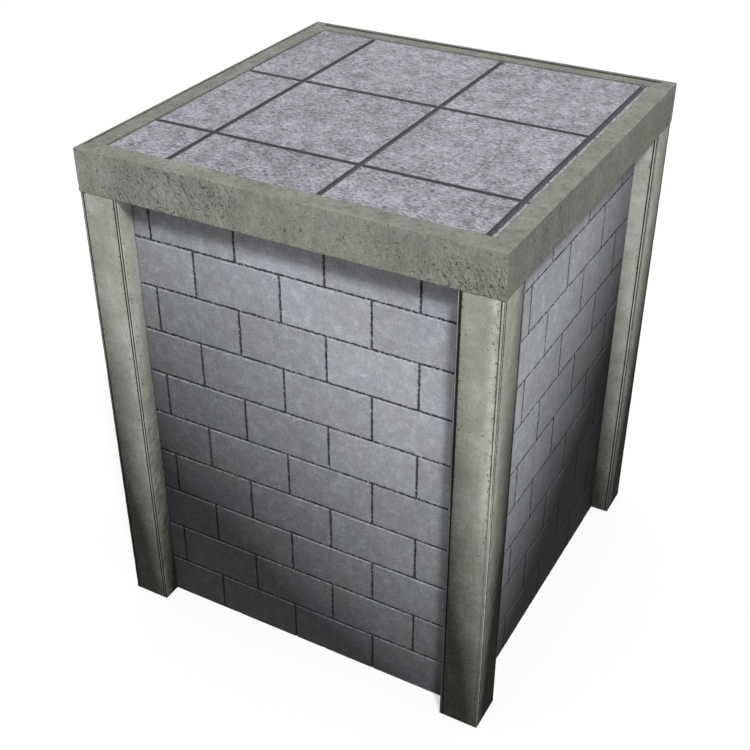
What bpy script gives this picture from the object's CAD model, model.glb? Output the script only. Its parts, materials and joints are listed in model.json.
import json
import math

import bpy
import numpy as np
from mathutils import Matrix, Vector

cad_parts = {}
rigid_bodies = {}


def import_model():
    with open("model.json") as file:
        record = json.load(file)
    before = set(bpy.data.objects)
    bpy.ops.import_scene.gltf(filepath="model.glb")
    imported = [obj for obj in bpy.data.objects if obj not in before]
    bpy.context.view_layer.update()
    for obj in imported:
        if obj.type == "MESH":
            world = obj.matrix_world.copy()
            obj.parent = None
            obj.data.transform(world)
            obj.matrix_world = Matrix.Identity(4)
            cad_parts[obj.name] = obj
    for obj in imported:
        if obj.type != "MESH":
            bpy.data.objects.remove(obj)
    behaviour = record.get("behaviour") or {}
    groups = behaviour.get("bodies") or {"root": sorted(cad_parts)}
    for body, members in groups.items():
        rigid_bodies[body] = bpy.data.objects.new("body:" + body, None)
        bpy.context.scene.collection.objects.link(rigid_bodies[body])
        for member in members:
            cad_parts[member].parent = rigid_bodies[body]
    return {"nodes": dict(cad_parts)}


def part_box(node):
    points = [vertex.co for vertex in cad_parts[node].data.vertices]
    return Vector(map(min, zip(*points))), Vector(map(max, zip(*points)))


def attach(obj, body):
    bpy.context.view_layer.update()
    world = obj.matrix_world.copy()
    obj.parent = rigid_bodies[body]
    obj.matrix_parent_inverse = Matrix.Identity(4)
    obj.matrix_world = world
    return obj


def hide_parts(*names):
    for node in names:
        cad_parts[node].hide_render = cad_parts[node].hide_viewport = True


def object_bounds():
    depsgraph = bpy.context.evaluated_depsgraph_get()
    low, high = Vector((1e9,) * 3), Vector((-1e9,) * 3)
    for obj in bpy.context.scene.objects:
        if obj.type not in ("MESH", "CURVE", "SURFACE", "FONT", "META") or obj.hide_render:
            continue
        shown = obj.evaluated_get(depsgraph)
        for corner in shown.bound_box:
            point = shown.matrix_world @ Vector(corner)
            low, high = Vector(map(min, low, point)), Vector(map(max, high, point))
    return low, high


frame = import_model()
cadLow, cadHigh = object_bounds()
print("frame loaded:", len(frame["nodes"]), "nodes")

sideNames = ["front", "right", "back", "left"]
cornerNames = ["front_left", "front_right", "back_right", "back_left"]  # each a quarter turn on
halfSide = cadHigh.x
mm = 0.001
tiny = 0.2 * mm
sharpTurn = math.radians(62)  # edges that turn by more stay sharp


# noise and small helpers


def smooth(value, low, high):
    t = np.clip((value - low) / (high - low), 0, 1)
    return t * t * (3 - 2 * t)


def speckle(ix, iy, iz, seed):
    h = (ix * 374761393 + iy * 668265263 + iz * 1440662683 + seed * 974634777) & 0xFFFFFFFF
    h = ((h ^ (h >> 13)) * 1274126177) & 0xFFFFFFFF
    h = ((h ^ (h >> 15)) * 2246822519) & 0xFFFFFFFF
    return ((h ^ (h >> 16)) & 0xFFFF) / 65535.0


def cloud(points, size, seed):
    # lumps of about the given size, from 0 to 1
    place = points / np.asarray(size, float)
    cell = np.floor(place).astype(np.int64)
    part = place - cell
    part = part * part * (3 - 2 * part)
    total = np.zeros(len(points))
    for dx in (0, 1):
        for dy in (0, 1):
            for dz in (0, 1):
                weight = (np.where(dx, part[:, 0], 1 - part[:, 0])
                          * np.where(dy, part[:, 1], 1 - part[:, 1])
                          * np.where(dz, part[:, 2], 1 - part[:, 2]))
                total += weight * speckle(cell[:, 0] + dx, cell[:, 1] + dy, cell[:, 2] + dz, seed)
    return total


def clouds(points, size, seed, layers=3, fade=0.5):
    # several sizes of lump on top of each other, still from 0 to 1
    total, most = 0, 0
    for k in range(layers):
        total = total + cloud(points, np.asarray(size, float) / 2 ** k, seed + k) * fade ** k
        most += fade ** k
    return total / most


def spread(low, high, step, rim=(), rimHigh=None):
    # positions from low to high at about one step, with closer ones near both ends
    rimHigh = rim if rimHigh is None else rimHigh
    first = [low] + [low + r for r in rim]
    last = [high - r for r in rimHigh][::-1] + [high]
    count = max(1, int(round((last[0] - first[-1]) / step)))
    middle = np.linspace(first[-1], last[0], count + 1)[1:-1]
    return np.array(first + list(middle) + last)


def shellOf(lines):
    # the skin of a block of lattice points: points, quads, and each point's outward direction
    shape = tuple(len(a) for a in lines)
    skin = np.zeros(shape, bool)
    skin[[0, -1]] = skin[:, [0, -1]] = skin[:, :, [0, -1]] = True
    index = np.full(shape, -1)
    index[skin] = np.arange(skin.sum())
    points = np.stack(np.meshgrid(*lines, indexing="ij"), -1)[skin]
    outward = np.zeros_like(points)
    quads = []
    for axis in range(3):
        for end, sign in ((0, -1), (-1, 1)):
            sheet = np.take(index, end, axis)
            quad = np.stack([sheet[:-1, :-1], sheet[1:, :-1], sheet[1:, 1:], sheet[:-1, 1:]], -1)
            quad = quad.reshape(-1, 4)
            quads.append(quad[:, ::-1] if (end == 0) != (axis == 1) else quad)
            outward[sheet.ravel(), axis] = sign
    return points, np.concatenate(quads), outward


def wearInto(points, low, high, radius):
    # brings edges and corners in to a rounded box; flat places stay where they are
    radius = np.asarray(radius)[..., None]
    core = np.clip(points, np.asarray(low) + radius, np.asarray(high) - radius)
    away = points - core
    length = np.linalg.norm(away, axis=1, keepdims=True)
    outside = length > radius
    return np.where(outside, core + away / np.maximum(length, 1e-9) * radius, points)


def sink(points, outward, depth):
    length = np.maximum(np.linalg.norm(outward, axis=1, keepdims=True), 1e-9)
    return points - outward / length * np.asarray(depth)[:, None]


def quarterTurn(points, i):
    # the front side, or front left corner, round to side or corner i
    x, y, z = points.T
    return np.stack([(x, y, z), (-y, x, z), (-x, -y, z), (y, -x, z)][i % 4], 1)


def stretchesOf(name, run):
    # where the blocks of a CAD node start and end along one axis
    mesh = frame["nodes"][name].data
    places = np.empty(len(mesh.vertices) * 3, np.float32)
    mesh.vertices.foreach_get("co", places)
    ends = np.unique(np.round(places.reshape(-1, 3)[:, run].astype(float), 4))
    return list(zip(ends[::2], ends[1::2]))


def joined(blocks):
    # the points, quads and marks of many blocks as those of one mesh
    points, quads, marks, count = [], [], {}, 0
    for blockPoints, blockQuads, blockMarks in blocks:
        points.append(blockPoints)
        quads.append(blockQuads + count)
        count += len(blockPoints)
        for key, values in blockMarks.items():
            marks.setdefault(key, []).append(values)
    marks = {key: np.concatenate(values) for key, values in marks.items()}
    return np.concatenate(points), np.concatenate(quads), marks


def makePiece(name, points, quads, material, marks, replaced):
    mesh = bpy.data.meshes.new(name)
    mesh.vertices.add(len(points))
    mesh.vertices.foreach_set("co", np.asarray(points, np.float32).ravel())
    mesh.loops.add(quads.size)
    mesh.loops.foreach_set("vertex_index", quads.astype(np.int32).ravel())
    mesh.polygons.add(len(quads))
    mesh.polygons.foreach_set("loop_start", np.arange(0, quads.size, 4, dtype=np.int32))
    mesh.polygons.foreach_set("use_smooth", np.ones(len(quads), bool))
    mesh.update(calc_edges=True)
    mesh.set_sharp_from_angle(angle=sharpTurn)
    for key, values in marks.items():
        mark = mesh.attributes.new(key, "FLOAT", "POINT")
        mark.data.foreach_set("value", np.asarray(values, np.float32))
    mesh.materials.append(material)
    piece = bpy.data.objects.new(name, mesh)
    bpy.context.scene.collection.objects.link(piece)
    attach(piece, "root")
    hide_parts(*replaced)
    return piece


# finishes


class Finish:
    # a procedural material, wired up with short calls

    def __init__(self, name):
        self.material = bpy.data.materials.new(name)
        self.material.use_nodes = True
        self.tree = self.material.node_tree
        self.tree.nodes.clear()
        end = self.tree.nodes.new("ShaderNodeOutputMaterial")
        self.skin = self.tree.nodes.new("ShaderNodeBsdfPrincipled")
        self.tree.links.new(self.skin.outputs[0], end.inputs[0])
        self.place = self.node("TexCoord", {}, "Object")

    def node(self, kind, inputs, output=0, **settings):
        made = self.tree.nodes.new("ShaderNode" + kind)
        for key, value in settings.items():
            setattr(made, key, value)
        for key, value in inputs.items():
            self.plug(made.inputs[key], value)
        return made.outputs[output]

    def plug(self, socket, value):
        if isinstance(value, bpy.types.NodeSocket):
            self.tree.links.new(value, socket)
        else:
            socket.default_value = value

    def math(self, how, a, b=0.0):
        return self.node("Math", {0: a, 1: b}, operation=how)

    def add(self, *values):
        total = values[0]
        for value in values[1:]:
            total = self.math("ADD", total, value)
        return total

    def times(self, *values):
        total = values[0]
        for value in values[1:]:
            total = self.math("MULTIPLY", total, value)
        return total

    def inverse(self, value):
        return self.math("SUBTRACT", 1.0, value)

    def centred(self, value):
        return self.math("SUBTRACT", value, 0.5)

    def turned(self, turn=(0, 0, 0), stretch=(1, 1, 1)):
        # object coordinates turned first and stretched after
        held = self.node("Mapping", {0: self.place, "Rotation": turn})
        return self.node("Mapping", {0: held, "Scale": tuple(1 / s for s in stretch)})

    def noise(self, size, detail, roughness, bend=0.0, at=None):
        return self.node("TexNoise", {"Vector": at or self.place, "Scale": 1 / size,
                                      "Detail": detail, "Roughness": roughness,
                                      "Distortion": bend})

    def cells(self, size):
        return self.node("TexVoronoi", {"Vector": self.place, "Scale": 1 / size}, "Distance")

    def between(self, value, low, high):
        return self.node("MapRange", {0: value, 1: low, 2: high}, interpolation_type="SMOOTHSTEP")

    def sway(self, value, amount):
        # turns a 0..1 value into 1 give or take the amount
        return self.add(self.times(self.centred(value), 2 * amount), 1.0)

    def mix(self, amount, first, second):
        first = first if isinstance(first, bpy.types.NodeSocket) else (*first, 1)
        second = second if isinstance(second, bpy.types.NodeSocket) else (*second, 1)
        return self.node("Mix", {0: amount, 6: first, 7: second}, 2, data_type="RGBA")

    def scaled(self, colour, amount):
        return self.node("VectorMath", {0: colour, "Scale": amount}, operation="SCALE")

    def mark(self, name):
        return self.node("Attribute", {}, "Fac", attribute_name=name)

    def sootier(self, clean):
        # 0 where the soot mark says clean, and more where it is darker
        return self.math("MAXIMUM", self.math("SUBTRACT", clean, self.mark("soot")), 0.0)

    def finish(self, colour, roughness, heights, specular):
        self.plug(self.skin.inputs["Base Color"], colour)
        self.plug(self.skin.inputs["Roughness"], roughness)
        self.skin.inputs["Specular IOR Level"].default_value = specular
        normal = None
        for height, distance in heights:
            inputs = {"Height": height, "Distance": distance, "Strength": 1.0}
            if normal:
                inputs["Normal"] = normal
            normal = self.node("Bump", inputs)
        if normal:
            self.plug(self.skin.inputs["Normal"], normal)
        return self.material


# In the sets below a noise is its size in metres, layers, roughness and bend. Those of size 1
# run in stretched coordinates. A name ending in At is where a thing starts to show and is full,
# and a name ending in Shade is how much it darkens.

capConcreteSet = {
    "grey": (0.268, 0.267, 0.238),
    "pale": (0.340, 0.339, 0.306),
    "dark": (0.165, 0.164, 0.150),
    "stain": (0.280, 0.273, 0.198),
    "turn": (0, math.radians(25), 0),  # lean of the drag marks from upright
    "dragStretch": (0.007, 0.007, 0.050),
    "wideStretch": (0.016, 0.016, 0.11),
    "marks": (1, 5, 0.65, 0.9),
    "bands": (1, 4, 0.62, 0.4),
    "crackle": (1, 4, 0.6, 1.2),
    "patches": (0.16, 5, 0.62),
    "blotch": (0.026, 5, 0.66, 0.5),
    "grain": (0.0042, 3, 0.7),
    "holes": (0.010, 3, 0.55, 0.5),
    "specks": (0.0060, 2, 0.5),
    "paleAt": (0.38, 0.68),
    "darkAt": (0.55, 0.30),
    "stainAt": (0.30, 0.60),
    "pitsAt": (0.675, 0.715),
    "specksAt": (0.66, 0.71),
    "marksAt": (0.61, 0.69),
    "crackleAt": (0.004, 0.022),  # how far the noise is from one half, where the cracks run
    "cracksAt": (0.42, 0.58),
    "roughPits": 0.070,  # how far rough casting helps the pits to show
    "darkAmount": 0.55,
    "stainAmount": 0.60,
    "marksAmount": 0.40,
    "cracksAmount": 1.15,
    "blotchSway": 0.22,
    "grainSway": 0.60,
    "bandSway": 0.09,
    "pitShade": 0.62,
    "speckShade": 0.42,
    "scratchShade": 0.62,
    "dull": 0.82,
    "grainDull": 0.15,
    "blotchRelief": 0.9,
    "relief": 2.2 * mm,
    "grainRelief": 0.9 * mm,
    "specular": 0.25,
}


def capConcrete():
    s = capConcreteSet
    f = Finish("capConcrete")
    drag = f.turned(s["turn"], s["dragStretch"])
    wide = f.turned(s["turn"], s["wideStretch"])
    rough = f.mark("rough")
    patches = f.noise(*s["patches"])
    blotch = f.noise(*s["blotch"])
    grain = f.noise(*s["grain"])
    bands = f.noise(*s["bands"], at=wide)
    pits = f.between(f.add(f.noise(*s["holes"]), f.times(rough, s["roughPits"])), *s["pitsAt"])
    specks = f.between(f.noise(*s["specks"]), *s["specksAt"])
    dragged = f.times(f.between(f.noise(*s["marks"], at=drag), *s["marksAt"]), s["marksAmount"])
    crackle = f.math("ABSOLUTE", f.centred(f.noise(*s["crackle"], at=wide)))
    crackle = f.inverse(f.between(crackle, *s["crackleAt"]))
    cracks = f.times(crackle, f.between(blotch, *s["cracksAt"]), s["cracksAmount"])
    scratches = f.times(f.math("MAXIMUM", dragged, cracks), rough)
    colour = f.mix(f.between(patches, *s["paleAt"]), s["grey"], s["pale"])
    darker = f.times(f.between(blotch, *s["darkAt"]), s["darkAmount"])
    colour = f.mix(darker, colour, s["dark"])
    stained = f.times(f.mark("stain"), f.between(patches, *s["stainAt"]), s["stainAmount"])
    colour = f.mix(stained, colour, s["stain"])
    shade = f.times(f.sway(blotch, s["blotchSway"]), f.sway(grain, s["grainSway"]),
                    f.sway(bands, s["bandSway"]),
                    f.inverse(f.times(pits, s["pitShade"])),
                    f.inverse(f.times(specks, s["speckShade"])),
                    f.inverse(f.times(scratches, s["scratchShade"])),
                    f.mark("soot"))
    dents = f.add(f.times(scratches, -1.0), f.times(pits, -1.0), f.times(blotch, s["blotchRelief"]))
    return f.finish(f.scaled(colour, shade), f.add(s["dull"], f.times(grain, s["grainDull"])),
                    [(dents, s["relief"]), (grain, s["grainRelief"])], s["specular"])


postConcreteSet = {
    "grey": (0.370, 0.367, 0.332),
    "pale": (0.445, 0.443, 0.408),
    "streak": (0.225, 0.210, 0.165),
    "brown": (0.330, 0.312, 0.235),
    "streakStretch": (0.011, 0.011, 0.13),
    "ribTurn": (math.radians(-52), 0, 0),
    "ribStretch": (0.03, 0.045, 0.0065),
    "streaks": (1, 5, 0.62, 0.4),
    "patches": (0.11, 5, 0.62),
    "blotch": (0.024, 5, 0.66, 0.4),
    "grain": (0.0042, 3, 0.7),
    "holes": (0.009, 3, 0.55, 0.6),
    "specks": (0.0060, 2, 0.5),
    "mottle": (0.013, 4, 0.70, 0.6),
    "stains": (0.045, 5, 0.66, 0.8),
    "ribs": (1, 2, 0.5),
    "paleAt": (0.4, 0.7),
    "streaksAt": (0.55, 0.75),
    "stainsAt": (0.46, 0.62),
    "pitsAt": (0.69, 0.73),
    "specksAt": (0.67, 0.72),
    "grimeAt": (0.28, 0.58),
    "roughPits": 0.12,  # how far the pits crowd beside a groove
    "ragged": 0.6,  # how uneven the edge of the grime is
    "clean": 0.95,  # soot mark above which nothing is mottled or stained
    "streakAmount": 0.45,
    "stainAmount": 0.75,
    "mottleAmount": 2.0,
    "ribAmount": 2.4,
    "patchSway": 0.16,
    "blotchSway": 0.20,
    "grainSway": 0.26,
    "streakSway": 0.16,
    "pitShade": 0.58,
    "speckShade": 0.38,
    "grimeShade": 0.90,
    "dull": 0.80,
    "grainDull": 0.15,
    "blotchRelief": 0.6,
    "relief": 2.0 * mm,
    "grainRelief": 0.7 * mm,
    "specular": 0.12,
}


def postConcrete():
    s = postConcreteSet
    f = Finish("postConcrete")
    streaks = f.noise(*s["streaks"], at=f.turned(stretch=s["streakStretch"]))
    patches = f.noise(*s["patches"])
    blotch = f.noise(*s["blotch"])
    grain = f.noise(*s["grain"])
    beside = f.times(f.mark("rough"), s["roughPits"])
    pits = f.between(f.add(f.noise(*s["holes"]), beside), *s["pitsAt"])
    specks = f.between(f.noise(*s["specks"]), *s["specksAt"])
    grime = f.add(f.mark("grime"), f.times(f.centred(blotch), s["ragged"]))
    grime = f.between(grime, *s["grimeAt"])
    colour = f.mix(f.between(patches, *s["paleAt"]), s["grey"], s["pale"])
    colour = f.mix(f.times(f.between(streaks, *s["streaksAt"]), s["streakAmount"]),
                   colour, s["streak"])
    # mottling, brown stains and leaning ribs, which show where the posts are sooty
    sooty = f.sootier(s["clean"])
    mottled = f.add(1.0, f.times(f.centred(f.noise(*s["mottle"])), sooty, s["mottleAmount"]))
    stained = f.times(f.between(f.noise(*s["stains"]), *s["stainsAt"]), sooty, s["stainAmount"])
    colour = f.mix(stained, colour, s["brown"])
    leaning = f.turned(s["ribTurn"], s["ribStretch"])
    ribs = f.times(f.centred(f.noise(*s["ribs"], at=leaning)), f.mark("ribs"))
    shade = f.times(f.sway(patches, s["patchSway"]), f.sway(blotch, s["blotchSway"]),
                    f.sway(grain, s["grainSway"]), f.sway(streaks, s["streakSway"]),
                    mottled, f.add(1.0, f.times(ribs, s["ribAmount"])),
                    f.inverse(f.times(pits, s["pitShade"])),
                    f.inverse(f.times(specks, s["speckShade"])),
                    f.inverse(f.times(grime, s["grimeShade"])),
                    f.mark("soot"))
    dents = f.add(f.times(pits, -1.0), f.times(blotch, s["blotchRelief"]), ribs)
    return f.finish(f.scaled(colour, shade), f.add(s["dull"], f.times(grain, s["grainDull"])),
                    [(dents, s["relief"]), (grain, s["grainRelief"])], s["specular"])


wallBlockSet = {
    "grey": (0.427, 0.437, 0.458),
    "blue": (0.410, 0.427, 0.468),
    "pale": (0.542, 0.553, 0.574),
    "turn": (math.radians(30), math.radians(35), 0),  # lean of the tooling
    "brushStretch": (0.010, 0.010, 0.026),
    "toolStretch": (0.006, 0.006, 0.013),
    "brushed": (1, 5, 0.75, 0.3),
    "tooled": (1, 3, 0.65),
    "patches": (0.20, 4, 0.58),
    "clouding": (0.05, 6, 0.72, 0.25),
    "grain": (0.0042, 3, 0.7),
    "pits": (0.0075, 2, 0.5),
    "chips": (0.010, 4, 0.68),
    "blueAt": (0.42, 0.62),
    "paleAt": (0.46, 0.74),
    "pitsAt": (0.69, 0.75),
    "edgeAt": (-0.58, -0.45),
    "crestAt": (0.38, 0.56),
    "ragged": -1.2,  # how far the chips push the dark edge about, in centimetres
    "paleAmount": 0.7,
    "toolAmount": 1.5,
    "crestAmount": 1.5,
    "patchSway": 0.10,
    "cloudSway": 0.28,
    "brushSway": 0.34,
    "grainSway": 0.82,
    "pitShade": 0.35,
    "edgeShade": 0.80,
    "dull": 0.66,
    "cloudDull": 0.2,
    "cloudRelief": 0.5,
    "brushRelief": 0.5,
    "pitRelief": -0.4,
    "relief": 1.4 * mm,
    "grainRelief": 0.5 * mm,
    "specular": 0.14,
}


def wallBlock():
    s = wallBlockSet
    f = Finish("wallBlock")
    patches = f.noise(*s["patches"])
    clouding = f.noise(*s["clouding"])
    brushed = f.noise(*s["brushed"], at=f.turned(s["turn"], s["brushStretch"]))
    grain = f.noise(*s["grain"])
    pits = f.between(f.noise(*s["pits"]), *s["pitsAt"])
    chips = f.noise(*s["chips"])
    rim = f.add(f.mark("rim"), f.times(chips, s["ragged"]))
    edge = f.inverse(f.between(rim, *s["edgeAt"]))
    crest = f.times(f.mark("crest"), f.between(chips, *s["crestAt"]))
    # fine tooling, which shows more where the blocks are sooty
    tooled = f.centred(f.noise(*s["tooled"], at=f.turned(s["turn"], s["toolStretch"])))
    tooled = f.add(1.0, f.times(tooled, f.sootier(1.0), s["toolAmount"]))
    colour = f.mix(f.between(patches, *s["blueAt"]), s["grey"], s["blue"])
    colour = f.mix(f.times(f.between(clouding, *s["paleAt"]), s["paleAmount"]), colour, s["pale"])
    shade = f.times(f.sway(patches, s["patchSway"]), f.sway(clouding, s["cloudSway"]),
                    f.sway(brushed, s["brushSway"]), f.sway(grain, s["grainSway"]),
                    f.mark("tone"), tooled,
                    f.inverse(f.times(pits, s["pitShade"])),
                    f.inverse(f.times(edge, s["edgeShade"])),
                    f.add(1.0, f.times(crest, s["crestAmount"])),
                    f.mark("soot"))
    dents = f.add(f.times(edge, -1.0), f.times(clouding, s["cloudRelief"]),
                  f.times(brushed, s["brushRelief"]), f.times(pits, s["pitRelief"]))
    return f.finish(f.scaled(colour, shade), f.add(s["dull"], f.times(clouding, s["cloudDull"])),
                    [(dents, s["relief"]), (grain, s["grainRelief"])], s["specular"])


pavingSlabSet = {
    "pale": (0.508, 0.516, 0.564),
    "dark": (0.092, 0.088, 0.104),
    "brown": (0.235, 0.216, 0.230),
    "joint": (0.092, 0.089, 0.099),
    "speck": (0.84, 0.84, 0.87),
    "oneTurn": (0, 0, math.radians(24)),  # the grain runs in two directions
    "otherTurn": (0, 0, math.radians(-20)),
    "grainStretch": (0.019, 0.009, 0.02),
    "grain": (1, 4, 0.70, 0.3),
    "which": (0.05, 3, 0.6),
    "patches": (0.20, 5, 0.62),
    "smaller": (0.055, 5, 0.68),
    "fine": (0.0055, 3, 0.7),
    "specks": (0.009, 1, 0.5),
    "worn": (0.085, 5, 0.62, 0.5),
    "ragged": (0.014, 4, 0.66),
    "whichAt": (0.44, 0.56),
    "paleAt": (0.345, 0.635),
    "wornAt": (0.50, 0.64),
    "specksAt": (0.80, 0.83),
    "rimAt": (0.10, 0.44),
    "grainAmount": 0.70,
    "smallerAmount": 0.30,
    "wornAmount": 0.40,
    "speckAmount": 0.8,
    "raggedAmount": 0.9,
    "patchSway": 0.30,
    "fineSway": 0.54,
    "dull": 0.66,
    "grainDull": 0.25,
    "relief": 1.5 * mm,
    "fineRelief": 0.3 * mm,
    "specular": 0.3,
}


def pavingSlab():
    s = pavingSlabSet
    f = Finish("pavingSlab")
    grainOne = f.noise(*s["grain"], at=f.turned(s["oneTurn"], s["grainStretch"]))
    grainTwo = f.noise(*s["grain"], at=f.turned(s["otherTurn"], s["grainStretch"]))
    which = f.between(f.noise(*s["which"]), *s["whichAt"])
    grain = f.add(f.times(grainOne, which), f.times(grainTwo, f.inverse(which)))
    patches = f.noise(*s["patches"])
    smaller = f.noise(*s["smaller"])
    fine = f.noise(*s["fine"])
    speck = f.between(f.noise(*s["specks"]), *s["specksAt"])
    mixture = f.add(f.times(grain, s["grainAmount"]), f.times(smaller, s["smallerAmount"]))
    colour = f.mix(f.between(mixture, *s["paleAt"]), s["dark"], s["pale"])
    worn = f.between(f.noise(*s["worn"]), *s["wornAt"])
    colour = f.mix(f.times(worn, s["wornAmount"]), colour, s["brown"])
    shade = f.times(f.sway(patches, s["patchSway"]), f.sway(fine, s["fineSway"]),
                    f.mark("tone"), f.mark("soot"))
    colour = f.mix(f.times(speck, s["speckAmount"]), f.scaled(colour, shade), s["speck"])
    ragged = f.times(f.centred(f.noise(*s["ragged"])), s["raggedAmount"])
    dirtyRim = f.inverse(f.between(f.add(f.mark("rim"), ragged), *s["rimAt"]))
    return f.finish(f.mix(dirtyRim, colour, s["joint"]),
                    f.add(s["dull"], f.times(grain, s["grainDull"])),
                    [(mixture, s["relief"]), (fine, s["fineRelief"])], s["specular"])


# the walls' mortar and the bed under the slabs
mortarSet = {"dark": (0.008, 0.008, 0.009), "light": (0.034, 0.034, 0.037), "size": 0.006,
             "relief": 1.5 * mm, "dusty": 0.5}
bedSet = {"dark": (0.056, 0.055, 0.061), "light": (0.155, 0.152, 0.166), "size": 0.007,
          "relief": 2.5 * mm, "dusty": 0.0}
dirtSet = {
    "dust": (0.16, 0.162, 0.168),
    "lumps": (4, 0.7),  # layers and roughness
    "drifts": (0.022, 3, 0.6),
    "patches": (3, 0.6),
    "lightAt": (0.12, 0.42),
    "driftsAt": (0.57, 0.63),
    "gritSize": 0.55,  # against the size of the lumps
    "patchSize": 12,
    "patchSway": 0.25,
    "gritRelief": 0.6,
    "dull": 0.85,
    "lumpDull": 0.12,
    "specular": 0.2,
}


def dirt(name, kind):
    s = dirtSet
    f = Finish(name)
    lumps = f.noise(kind["size"], *s["lumps"])
    grit = f.cells(kind["size"] * s["gritSize"])
    colour = f.mix(f.between(f.times(lumps, grit), *s["lightAt"]), kind["dark"], kind["light"])
    drifts = f.times(f.between(f.noise(*s["drifts"]), *s["driftsAt"]), kind["dusty"])
    colour = f.mix(drifts, colour, s["dust"])
    patches = f.noise(kind["size"] * s["patchSize"], *s["patches"])
    height = f.add(lumps, f.times(grit, s["gritRelief"]))
    return f.finish(f.scaled(colour, f.sway(patches, s["patchSway"])),
                    f.add(s["dull"], f.times(lumps, s["lumpDull"])),
                    [(height, kind["relief"])], s["specular"])


finishes = {
    "cap": capConcrete(),
    "post": postConcrete(),
    "block": wallBlock(),
    "slab": pavingSlab(),
    "mortar": dirt("wallMortar", mortarSet),
    "bed": dirt("beddingMortar", bedSet),
}
print("finishes made:", len(finishes))


# soot, which darkens everything towards the ground

sootSet = {
    "y": {"start": -0.274, "rise": 0.451, "curve": 0.129, "reach": 1.482, "bend": 1.17,
          "least": 0.078, "fade": 0.063, "strength": 1.03},  # walls that face front and back
    "x": {"start": -0.400, "rise": 0.758, "curve": 0.093, "reach": 1.291, "bend": 1.28,
          "least": 0.033, "fade": 0.180, "strength": 0.99},  # walls that face left and right
    "postY": {"start": -0.272, "rise": 0.965, "curve": 0, "reach": 1.353, "bend": 1.20,
              "least": 0.068},
    "postX": {"start": -0.470, "rise": 1.430, "curve": 0, "reach": 1.485, "bend": 1.20,
              "least": 0.030},
    "waveSize": 0.35,  # how wide and how high the soot's upper limit sways
    "waveHeight": 0.16,
    "capShade": 0.35,  # grime on the walls right under the cap
    "capShadeAt": (0.125, 0.070),  # metres under the cap
}


def sootAt(height, away, s):
    # darkest up to start, which climbs by rise and curve with away, and clear a reach above that
    start = s["start"] + s["rise"] * away + s["curve"] * away ** 2
    clear = np.clip((height - start) / s["reach"], 0, 1)
    return s["least"] + (1 - s["least"]) * clear ** s["bend"]


def wallSoot(points, axis):
    # axis is the one the wall faces along; opposite walls are each other turned half round
    s = sootSet[axis]
    along = points[:, 0] if axis == "y" else -points[:, 1]
    facing = points[:, 1] if axis == "y" else -points[:, 0]
    away = halfSide + np.where(facing < 0, -along, along)
    wave = (clouds(points, sootSet["waveSize"], 11) - 0.5) * sootSet["waveHeight"]
    soot = sootAt(points[:, 2] + wave, away, s) * (1 - s["fade"] * away)
    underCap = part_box("cap_beam_front")[0].z - points[:, 2]
    soot = soot * s["strength"]
    return soot * (1 - sootSet["capShade"] * smooth(underCap + wave * 0.1, *sootSet["capShadeAt"]))


# cap beams

capSet = {
    "step": 7.5 * mm,
    "depthStep": 9 * mm,
    "rim": [r * mm for r in (1.2, 2.8, 5, 8.5, 13)],  # closer lattice lines by the edges
    "arris": 2.2 * mm,  # wear of the upper edges
    "lowerArris": 3.6 * mm,
    "lowerAt": (0.06, 0.12),  # metres down from the top
    "chip": 9 * mm,  # the deepest chip
    "chipSize": 0.034,
    "chipAt": (0.60, 0.86),
    "upperChips": 0.35,  # depth of the upper edges' chips against the lower edges'
    "cornerWear": 3.2 * mm,
    "cornerChip": 7 * mm,
    "cornerAt": (0.55, 0.95),
    "seam": 0.05 * mm,  # half of the seam at a mitre
    "sag": 0.9 * mm,  # how uneven the faces are
    "sagSize": 0.07,
    "roughSize": 0.2,
    "roughAnywhere": 0.35,
    "roughSides": (1.0, 0.6, 0.6, 1.0),  # from the front round
    "dragLean": math.radians(25),
    "dragWidth": 0.011,
    "dragLength": 0.12,
    "dragAt": (0.45, 0.85),
    "dragRelief": 1.1 * mm,
    "sides": (1.0, 0.74, 0.88, 0.90),  # soot mark of the outer faces, from the front round
    "top": 0.93,  # and of all that isn't an outer face
    "dullTop": 0.92,  # for the tops of the back and left beams
    "cutSoot": (0.12, 0.25),  # least soot mark in a groove, and what varies over it
    "stainSize": 0.15,
    "stainAt": (0.40, 0.60),
    "grooves": {"back": {"inset": 29 * mm, "width": 12 * mm, "depth": 5 * mm},
                "left": {"inset": 14 * mm, "width": 3 * mm, "depth": 3 * mm}},
    "grooveStop": 32 * mm,
    "lip": 0.6 * mm,
}


def capRough(i, world, sideways, up, seed):
    # where the casting is rough: by the lower right corner, and in the left third
    s = capSet
    nearCorner = np.exp(-((sideways - 0.70) / 0.20) ** 2) * smooth(up, 0.16, 0.03)
    leftThird = np.exp(-((sideways + 0.45) / 0.28) ** 2) * 0.75
    anywhere = s["roughAnywhere"] * clouds(world, s["roughSize"], seed + 7)
    return np.clip(nearCorner + leftThird + anywhere, 0, 1) * s["roughSides"][i], nearCorner


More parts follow.
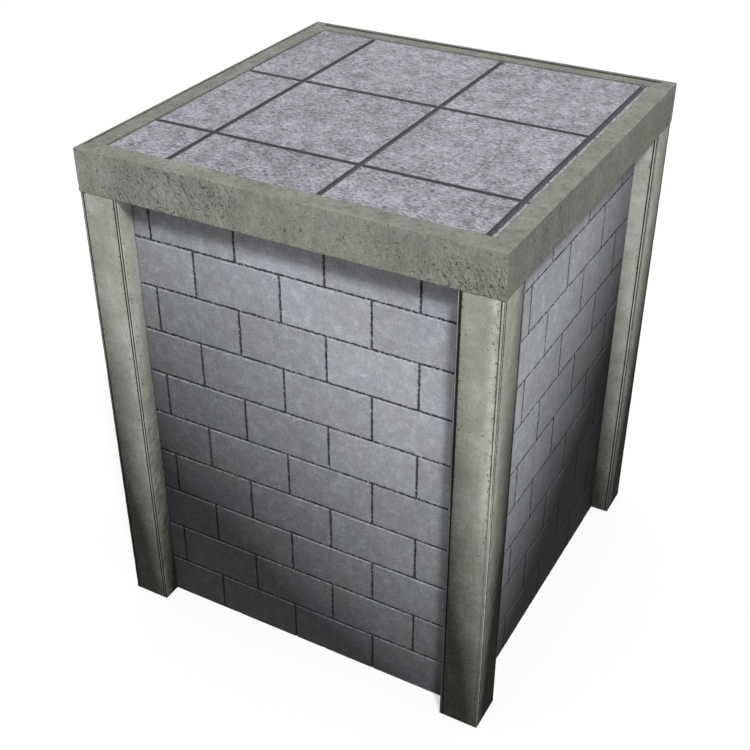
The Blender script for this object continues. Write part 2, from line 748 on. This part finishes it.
def capBeam(i):
    s = capSet
    name = "cap_beam_" + sideNames[i]
    low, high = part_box("cap_beam_front")  # worked out at the front, then turned
    outer, inner = low.y, high.y
    rim = s["rim"]
    cut = s["grooves"].get(sideNames[i])
    depthRim = rim
    if cut:
        cutLow, cutHigh = cut["inset"] - cut["width"] / 2, cut["inset"] + cut["width"] / 2
        cutLines = [cutLow, cutLow + s["lip"], cutHigh - s["lip"], cutHigh, cutHigh + 5 * mm]
        depthRim = [r for r in rim if r < cutLow - 1 * mm] + cutLines
    lengths = spread(low.x, high.x, s["step"], rim)
    depths = spread(outer, inner, s["depthStep"], depthRim, rim)
    heights = spread(low.z, high.z, s["step"], rim)
    points, quads, outward = shellOf([lengths, depths, heights])
    flatDepth = points[:, 1] - outer
    alongRun = points[:, 0] / -outer
    points[:, 0] = alongRun * (-points[:, 1] - s["seam"])  # the mitre
    world = quarterTurn(points, i)
    seed = 40 + 10 * i

    # wear along the long edges, rougher below, then on the cap's own corners
    chipping = smooth(clouds(world, s["chipSize"], seed), *s["chipAt"])
    lower = smooth(high.z - points[:, 2], *s["lowerAt"])
    radius = s["arris"] + (s["lowerArris"] - s["arris"]) * lower
    radius = radius * (0.6 + 0.8 * cloud(world, 0.012, seed + 3))
    radius = radius + s["chip"] * chipping * (s["upperChips"] + (1 - s["upperChips"]) * lower)
    worn = wearInto(points[:, 1:], (outer, low.z), (inner, high.z), radius)
    cornerChips = smooth(cloud(world, 0.025, seed + 5), *s["cornerAt"])
    points = np.column_stack([points[:, 0], worn])
    plan = wearInto(points[:, :2], (outer, outer), (-outer, -outer),
                    s["cornerWear"] + s["cornerChip"] * cornerChips)
    points = np.column_stack([plan, points[:, 2]])

    # uneven faces, with raised drag marks where the casting is rough
    onMitre = np.abs(outward[:, 0]) > 0.5
    onTop = outward[:, 2] > 0.5
    onFace = smooth(-outward[:, 1], 0.4, 0.9) * ~onMitre
    sideways, up = alongRun * -outer, points[:, 2] - low.z
    rough, nearCorner = capRough(i, world, sideways, up, seed)
    across = (sideways + up * np.tan(s["dragLean"])) / s["dragWidth"]
    dragPlace = np.column_stack([across, up / s["dragLength"], np.full(len(points), i)])
    drag = cloud(dragPlace, 1, seed + 9)
    lumps = clouds(world, s["sagSize"], seed + 11)
    depth = s["sag"] * lumps + s["dragRelief"] * rough * smooth(drag, *s["dragAt"]) * onFace
    depth = np.where(onTop & (outward[:, 1] == 0), 0.5 * s["sag"] * lumps, depth) * ~onMitre
    onCut = np.zeros(len(points), bool)
    if cut:
        onCut = onTop & (np.abs(sideways) < halfSide - s["grooveStop"])
        inCut = onCut & (flatDepth > cutLow + tiny) & (flatDepth < cutHigh - tiny)
        onCut &= (flatDepth > cutLow - tiny) & (flatDepth < cutHigh + tiny)
        depth = np.where(inCut, cut["depth"], depth)
    points = sink(points, outward, depth)

    stain = smooth(up, 0.06, 0.0) * smooth(clouds(world, s["stainSize"], seed + 13), *s["stainAt"])
    stain = np.clip(stain + nearCorner * 0.7, 0, 1) * (outward[:, 2] < 0.5)
    onOuter = (outward[:, 1] < -0.5) & (outward[:, 2] < 0.5)
    soot = np.where(onOuter, s["sides"][i], s["top"])
    if sideNames[i] in s["grooves"]:
        soot = np.where(onTop, soot * s["dullTop"], soot)
    leastCut, moreCut = s["cutSoot"]
    soot = np.where(onCut, leastCut + moreCut * clouds(world, 0.06, seed + 15), soot)
    makePiece(name + "_cast", quarterTurn(points, i), quads, finishes["cap"],
              {"rough": rough * onFace, "stain": stain, "soot": soot}, [name])


for i in range(4):
    capBeam(i)
print("cap beams made")


# posts

postSet = {
    "step": 12 * mm,
    "bead": 9 * mm,  # width of the bead between a groove and the corner
    "groove": 5 * mm,
    "grooveDepth": 5 * mm,
    "lip": 0.7 * mm,
    "arris": 2.6 * mm,
    "chip": 8 * mm,
    "chipSize": (0.03, 0.03, 0.05),
    "chipAt": (0.63, 0.88),
    "unevenness": 1.1 * mm,
    "lumpSize": (0.06, 0.06, 0.16),
    "leastFill": 0.55,  # share of its depth that a groove keeps at the foot; dirt fills the rest
    "fillAt": (0.1, 0.9),
    "waveSize": (0.09, 0.09, 0.3),
    "waveHeight": 0.22,
    "soot": 1.06,  # strength of the soot mark, which is near 1 where a post is clean
    "sootY": 0.98,  # and for the faces to front and back alone
    "sootX": 0.78,  # for the others, with more of it higher up and by the near edge
    "sootUp": 0.10,
    "sootNear": 0.22,
    "upAt": (0.7, 1.7),
    "nearAt": (0.42, 0.12),
    "returns": (1.26, 1.0, 1.28, 1.0),  # the faces turned to the walls, which are cleaner on two
    "ribsAt": (1.3, 0.7),
    "strip": 0.48,
    "stripSides": (0.2, 1.0, 0.2, 1.0),
    "stripAt": (0.34, 0.17),
    "stripUpAt": (0.6, 1.4),
    "streakyAt": (0.22, 0.62),
    "stripSize": (0.012, 0.012, 0.07),
    "beadAt": (1.3, 0.6),  # heights between which two posts' beads and grime change
    "paleBead": 1.12,
    "farBead": 0.9,
    "nearBead": 0.22,
    "arrisAt": (6 * mm, 1.4 * mm),
    "arrisGrime": (0.85, 0.55, 0.85, 0.55),
    "wideAt": (8 * mm, 2.6 * mm),  # the wider dirt by the return's groove
    "wideUpAt": (0.7, 1.3),
    "beside": 0.016,  # reach of the pits beside a groove
}


def postSoot(i, world, turned, flat, onBead, seed):
    # soot climbs from the near to the far edge of each face
    s = postSet
    across = (world - world.min(0)) / (world.max(0) - world.min(0))
    facesY = np.abs(turned[:, 1]) > 0.5
    farY = np.where(turned[:, 1] < 0, 1 - across[:, 0], across[:, 0])
    farX = np.where(turned[:, 0] > 0, across[:, 1], 1 - across[:, 1])
    height = world[:, 2] + (clouds(world, s["waveSize"], seed + 9) - 0.5) * s["waveHeight"]
    soot = np.where(facesY, sootAt(height, farY, sootSet["postY"]),
                    sootAt(height, farX, sootSet["postX"]))
    facesNear = np.where(facesY, turned[:, 1] < 0, turned[:, 0] > 0)
    nearX = smooth(farX, *s["nearAt"]) * facesNear
    sootX = s["sootX"] + (s["sootUp"] + s["sootNear"] * nearX) * smooth(height, *s["upAt"])
    soot = soot * s["soot"] * np.where(facesY, s["sootY"], sootX)
    isReturn = facesNear & (facesY if i == 2 else ~facesY)
    soot = np.where(isReturn, soot * s["returns"][i], soot)

    # a paler strip by the near edge higher up, and beads that stand out
    strip = smooth(farY, *s["stripAt"]) * facesY * smooth(height, *s["stripUpAt"])
    strip = strip * s["stripSides"][i] * (0.45 + 0.55 * smooth(farY, 0.06, 0.11))
    streaky = smooth(clouds(world, s["stripSize"], seed + 13), *s["streakyAt"])
    soot = soot * (1 + s["strip"] * strip * streaky)
    soot = np.where(onBead(3 * mm), soot * s["paleBead"], soot)
    if i in (1, 3):
        beadLow = smooth(flat[:, 2], *s["beadAt"])
        soot = np.where(onBead(1 * mm) & (farY > 0.8), soot * (1 + s["farBead"] * beadLow), soot)
        soot = np.where(onBead(1 * mm) & (farY < 0.2), soot * (1 - s["nearBead"] * beadLow), soot)
    return soot, facesY, ~facesY * facesNear * smooth(height, *s["ribsAt"])


def cornerPost(i):
    s = postSet
    name = "post_" + cornerNames[i]
    low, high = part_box("post_front_left")
    width = high.x - low.x
    lip, g0, g1 = s["lip"], s["bead"], s["bead"] + s["groove"]
    rim = [1.2 * mm, 2.6 * mm, 5 * mm, g0 - lip, g0, g0 + lip, g1 - lip, g1, g1 + lip,
           g1 + 2.6 * mm, g1 + 6 * mm]
    xs = spread(low.x, high.x, s["step"], rim)
    ys = spread(low.y, high.y, s["step"], rim)
    zs = spread(low.z, high.z, s["step"], [3 * mm, 8 * mm])
    flat, quads, outward = shellOf([xs, ys, zs])
    world = quarterTurn(flat, i)
    seed = 100 + 10 * i
    grounded = smooth(flat[:, 2], 0.0, 0.012)  # the foot stays flat on the ground
    chipping = smooth(clouds(world, s["chipSize"], seed), *s["chipAt"])
    radius = s["arris"] * (0.6 + 0.8 * cloud(world, 0.02, seed + 3)) + s["chip"] * chipping
    radius = np.minimum(radius, g0 - 1 * mm)
    plan = wearInto(flat[:, :2], (low.x, low.y), (high.x, high.y), radius)
    points = np.column_stack([plan, flat[:, 2]])

    # grooves on both outer faces, and one on the back of the post by its outer corner
    dx, dy = flat[:, 0] - low.x, flat[:, 1] - low.y

    def within(d, start, end):
        return (d > start + tiny) & (d < end - tiny)

    def marked(start, end):
        onFront = within(dx, start, end) | within(dx, width - end, width - start)
        onSide = within(dy, start, end) | within(dy, width - end, width - start)
        onBack = (outward[:, 1] > 0.5) & within(dx, start, end)
        return (outward[:, 1] < -0.5) & onFront | (outward[:, 0] < -0.5) & onSide | onBack

    fill = s["leastFill"] + (1 - s["leastFill"]) * smooth(flat[:, 2], *s["fillAt"])
    fill = fill * (0.85 + 0.15 * cloud(world, 0.03, seed + 5))
    lumps = clouds(world, s["lumpSize"], seed + 7)
    depth = np.where(marked(g0, g1), s["grooveDepth"] * fill, s["unevenness"] * lumps)
    points = sink(points, outward * (1, 1, 0), depth * grounded)

    edgeGap = np.minimum(np.minimum(dx, width - dx), np.minimum(dy, width - dy))
    secondGap = np.maximum(np.minimum(dx, width - dx), np.minimum(dy, width - dy))

    def onBead(least):
        return (edgeGap < tiny) & (secondGap > least) & (secondGap < g0)

    turned = quarterTurn(outward, i)
    soot, facesY, ribs = postSoot(i, world, turned, flat, onBead, seed)

    # grime in the grooves and on the arrises
    beadLow = smooth(flat[:, 2], *s["beadAt"])
    dirty = marked(g0 - 2 * tiny, g1 + 2 * tiny)
    onArris = smooth(secondGap, *s["arrisAt"]) * (edgeGap < tiny) * s["arrisGrime"][i]
    if i in (0, 2):
        grime = np.where(dirty, 1.0, onArris)
    else:
        grime = np.where(dirty, 1.0, onArris * (1 - 0.75 * beadLow))
        nearCorner = (dx < width / 2) & (dy < width / 2)
        cornerGrime = np.where(facesY, 0.46 - 0.20 * beadLow, 0.58)
        grime = np.where(dirty & nearCorner, cornerGrime, grime)
        fromGroove = np.abs(width - dy - (g0 + g1) / 2)
        wide = smooth(fromGroove, *s["wideAt"]) * (outward[:, 0] < -0.5)
        grime = np.maximum(grime, wide * 0.9 * smooth(flat[:, 2], *s["wideUpAt"]))
    besideGroove = np.exp(-np.maximum(secondGap - g1, 0) / s["beside"]) * (secondGap > g1)
    makePiece(name + "_cast", quarterTurn(points, i), quads, finishes["post"],
              {"soot": soot, "rough": besideGroove * (1 - 0.4 * beadLow), "grime": grime,
               "ribs": ribs}, [name])


for i in range(4):
    cornerPost(i)
print("posts made")


# block walls

wallSet = {
    "step": 20 * mm,
    "depthStep": 30 * mm,
    "rim": [r * mm for r in (1.2, 3, 6, 11)],  # closer lattice lines by the edges
    "arris": 1.5 * mm,
    "chip": 5 * mm,
    "chipSize": 0.022,
    "chipAt": (0.62, 0.9),
    "unevenness": 0.6 * mm,
    "lumpSize": 0.09,
    "smearSize": 0.028,
    "smearAt": (0.30, 0.66),
    "smear": 2.1 * mm,  # the most that smeared mortar adds to an end, over the least below
    "leastSmear": 1.2 * mm,
    "leastBedSmear": 1.1 * mm,
    "footing": 20 * mm,  # height under which the bottom course isn't smeared
    "tone": 0.07,  # how much blocks differ
    "crestAt": (10.5 * mm, 5.5 * mm),  # the paler line under a block's upper edge
    "crestEndAt": (0.0, 3 * mm),
}


def wallBlockAt(low, high, axis, seed):
    s = wallSet
    run, depth = (0, 1) if axis == "y" else (1, 0)
    lines = [spread(low[k], high[k], s["step"], s["rim"]) for k in range(3)]
    lines[depth] = spread(low[depth], high[depth], s["depthStep"], s["rim"][:3])
    flat, quads, outward = shellOf(lines)
    chipping = smooth(clouds(flat, s["chipSize"], seed), *s["chipAt"])
    radius = s["arris"] * (0.5 + cloud(flat, 0.01, seed + 3)) + s["chip"] * chipping
    points = wearInto(flat, low, high, radius)
    lumps = clouds(flat, s["lumpSize"], seed + 5)
    points = sink(points, outward, s["unevenness"] * lumps * (np.abs(outward).sum(1) < 1.5))

    # smeared mortar narrows the joints unevenly
    smear = s["smear"] * smooth(clouds(flat, s["smearSize"], seed + 9), *s["smearAt"])
    points[:, run] += outward[:, run] * (s["leastSmear"] + smear) * (outward[:, depth] == 0)
    points[:, 2] += outward[:, 2] * (s["leastBedSmear"] + smear) * (flat[:, 2] > s["footing"])
    return points, quads, flat


def crestAmount(soot, axis):
    # the paler line shows most where the wall is sooty
    if axis == "y":
        return 0.25 + 0.75 * smooth(soot, 0.75, 0.30) + 0.6 * smooth(soot, 0.25, 0.09)
    return 0.06 + 2.2 * smooth(soot, 0.20, 0.06)


def wallLift(name, axis, number):
    s = wallSet
    low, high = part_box(name)
    run = 0 if axis == "y" else 1
    blocks = []
    for k, (start, end) in enumerate(stretchesOf(name, run)):
        blockLow, blockHigh = np.array(low), np.array(high)
        blockLow[run], blockHigh[run] = start, end
        points, quads, flat = wallBlockAt(blockLow, blockHigh, axis, number * 37 + k * 7 + 500)
        soot = wallSoot(flat, axis)
        topGap = blockHigh[2] - flat[:, 2]
        inFace = np.column_stack([flat[:, run] - start, end - flat[:, run],
                                  flat[:, 2] - blockLow[2], topGap])
        tone = 1 + s["tone"] * (2 * speckle(number, k, 3, 5) - 1)
        crest = smooth(topGap, *s["crestAt"]) * smooth(topGap, *s["crestEndAt"])
        blocks.append((points, quads, {
            "soot": soot, "tone": np.full(len(flat), tone), "rim": inFace.min(1) * 100,
            "crest": crest * crestAmount(soot, axis)}))
    points, quads, marks = joined(blocks)
    makePiece(name + "_blocks", points, quads, finishes["block"], marks, [name])


lifts = sorted(n for n in frame["nodes"] if "_wall_lift" in n)
for number, name in enumerate(lifts):
    side = name.split("_")[0]
    wallLift(name, "y" if side in ("front", "back") else "x", number)
print("wall lifts made:", len(lifts))


# paving

pavingSet = {
    "step": 12 * mm,
    "shortStep": 8 * mm,  # across the slips
    "depthStep": 20 * mm,
    "rim": [r * mm for r in (1.2, 3, 6, 10)],  # closer lattice lines by the edges
    "arris": 2.0 * mm,
    "chip": 6 * mm,
    "chipSize": 0.02,
    "chipAt": (0.58, 0.88),
    "relief": 0.7 * mm,
    "lumpSize": 0.06,
    "tone": 0.05,
    "slipWidth": 0.05,  # narrower ones are slips, paler and dirty along their left edge alone
    "slipSoot": 1.08,
    "slipRim": 0.6,
    "shortUnder": 0.1,  # width under which the short step is used
    "fewRimUnder": 0.03,  # width under which only the two outer rim lines are used
    "mostWear": 0.35,  # share of a slab's width
}


def slabAt(low, high, seed):
    s = pavingSet
    lines = []
    for k in (0, 1):
        length = high[k] - low[k]
        step = s["step"] if length > s["shortUnder"] else s["shortStep"]
        rim = s["rim"] if length > s["fewRimUnder"] else s["rim"][:2]
        lines.append(spread(low[k], high[k], step, rim))
    lines.append(spread(low[2], high[2], s["depthStep"], s["rim"][:3]))
    flat, quads, outward = shellOf(lines)
    chipping = smooth(clouds(flat, s["chipSize"], seed), *s["chipAt"])
    radius = s["arris"] * (0.5 + cloud(flat, 0.012, seed + 3)) + s["chip"] * chipping
    radius = np.minimum(radius, (high[0] - low[0]) * s["mostWear"])
    points = wearInto(flat, low, high, radius)
    lumps = clouds(flat, s["lumpSize"], seed + 5, 2)
    onTop = (outward[:, 2] > 0.5) & (np.abs(outward[:, :2]).sum(1) < 0.5)
    points = sink(points, outward, s["relief"] * lumps * onTop)
    inFace = np.column_stack([flat[:, 0] - low[0], high[0] - flat[:, 0],
                              flat[:, 1] - low[1], high[1] - flat[:, 1]])
    isSlip = high[0] - low[0] < s["slipWidth"]
    edge = inFace[:, 0] * s["slipRim"] if isSlip else inFace.min(1)
    soot = np.full(len(points), s["slipSoot"] if isSlip else 1.0)
    return points, quads, {"rim": edge * 100, "soot": soot}


def pavingPiece(name, boxes, seed):
    blocks = []
    for k, (low, high) in enumerate(boxes):
        points, quads, marks = slabAt(np.array(low), np.array(high), seed + 11 * k)
        tone = 1 + pavingSet["tone"] * (2 * speckle(seed, k, 1, 9) - 1)
        blocks.append((points, quads, {**marks, "tone": np.full(len(points), tone)}))
    points, quads, marks = joined(blocks)
    makePiece(name + "_stone", points, quads, finishes["slab"], marks, [name])


slabs = sorted(n for n in frame["nodes"] if n.startswith("slab_row"))
for k, name in enumerate(slabs):
    pavingPiece(name, [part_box(name)], 900 + 29 * k)

if "slab_slips" in frame["nodes"]:
    low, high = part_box("slab_slips")
    pavingPiece("slab_slips", [((low.x, start, low.z), (high.x, end, high.z))
                               for start, end in stretchesOf("slab_slips", 1)], 1300)

for name, key in (("wall_mortar", "mortar"), ("paving_bed", "bed")):
    node = frame["nodes"][name]
    node.data.materials.clear()
    node.data.materials.append(finishes[key])
print("paving made:", len(slabs), "slabs")


# floor, light and camera

lightSet = {
    "sky": 0.35,  # even light from all round
    "lamp": 2.64,
    "lampFrom": (0.417, -0.497, 0.760),  # from the front right, fairly high
    "lampSoftness": math.radians(10),
    "floorColour": (0.50, 0.50, 0.50),
    "floorLift": 0.55,  # extra for the camera only, so that the open floor reads as white
    "floorReach": 60,
    "floorDrop": 0.5 * mm,
}


def background():
    world = bpy.data.worlds.new("plainStudio")
    world.use_nodes = True
    tree = world.node_tree
    tree.nodes.clear()
    end = tree.nodes.new("ShaderNodeOutputWorld")
    sky = tree.nodes.new("ShaderNodeBackground")
    sky.inputs["Strength"].default_value = lightSet["sky"]
    white = tree.nodes.new("ShaderNodeBackground")
    mixed = tree.nodes.new("ShaderNodeMixShader")
    for shader in (sky, white):
        shader.inputs["Color"].default_value = (1, 1, 1, 1)
    path = tree.nodes.new("ShaderNodeLightPath")
    seen = path.outputs["Is Camera Ray"]
    for key in ("Is Glossy Ray", "Is Transmission Ray"):
        both = tree.nodes.new("ShaderNodeMath")
        both.operation = "MAXIMUM"
        tree.links.new(seen, both.inputs[0])
        tree.links.new(path.outputs[key], both.inputs[1])
        seen = both.outputs[0]
    tree.links.new(seen, mixed.inputs[0])
    tree.links.new(sky.outputs[0], mixed.inputs[1])
    tree.links.new(white.outputs[0], mixed.inputs[2])
    tree.links.new(mixed.outputs[0], end.inputs[0])
    bpy.context.scene.world = world


def floor():
    material = bpy.data.materials.new("studioFloor")
    material.use_nodes = True
    tree = material.node_tree
    tree.nodes.clear()
    end = tree.nodes.new("ShaderNodeOutputMaterial")
    matt = tree.nodes.new("ShaderNodeBsdfDiffuse")
    matt.inputs["Color"].default_value = (*lightSet["floorColour"], 1)
    lift = tree.nodes.new("ShaderNodeEmission")
    path = tree.nodes.new("ShaderNodeLightPath")
    amount = tree.nodes.new("ShaderNodeMath")
    amount.operation = "MULTIPLY"
    amount.inputs[1].default_value = lightSet["floorLift"]
    both = tree.nodes.new("ShaderNodeAddShader")
    tree.links.new(path.outputs["Is Camera Ray"], amount.inputs[0])
    tree.links.new(amount.outputs[0], lift.inputs["Strength"])
    tree.links.new(matt.outputs[0], both.inputs[0])
    tree.links.new(lift.outputs[0], both.inputs[1])
    tree.links.new(both.outputs[0], end.inputs[0])
    reach, level = lightSet["floorReach"], -lightSet["floorDrop"]
    corners = [(-reach, -reach, level), (reach, -reach, level), (reach, reach, level),
               (-reach, reach, level)]
    mesh = bpy.data.meshes.new("studioFloor")
    mesh.from_pydata(corners, [], [(0, 1, 2, 3)])
    mesh.materials.append(material)
    ground = bpy.data.objects.new("studioFloor", mesh)
    bpy.context.scene.collection.objects.link(ground)


def lamp():
    sun = bpy.data.lights.new("softLamp", "SUN")
    sun.energy = lightSet["lamp"]
    sun.angle = lightSet["lampSoftness"]
    holder = bpy.data.objects.new("softLamp", sun)
    x, y, z = lightSet["lampFrom"]
    holder.rotation_euler = (math.atan2(math.hypot(x, y), z), 0, math.atan2(x, -y))
    bpy.context.scene.collection.objects.link(holder)


cameraSet = {
    "lens": 57.766,
    "place": (1.99129, -3.76362, 3.70247),
    "turn": math.radians(28.794),
    "drop": math.radians(33.336),
}


def camera():
    made = bpy.data.cameras.new("mainCamera")
    made.lens = cameraSet["lens"]
    made.sensor_width = 36
    holder = bpy.data.objects.new("mainCamera", made)
    holder.location = cameraSet["place"]
    holder.rotation_euler = (math.pi / 2 - cameraSet["drop"], 0, cameraSet["turn"])
    bpy.context.scene.collection.objects.link(holder)
    bpy.context.scene.camera = holder


background()
floor()
lamp()
camera()
bpy.context.scene.view_settings.view_transform = "Standard"
made = [o for o in bpy.data.objects if o.name.endswith(("_cast", "_blocks", "_stone"))]
triangles = sum(2 * len(o.data.polygons) for o in made)
print("scene ready, about", triangles, "triangles")
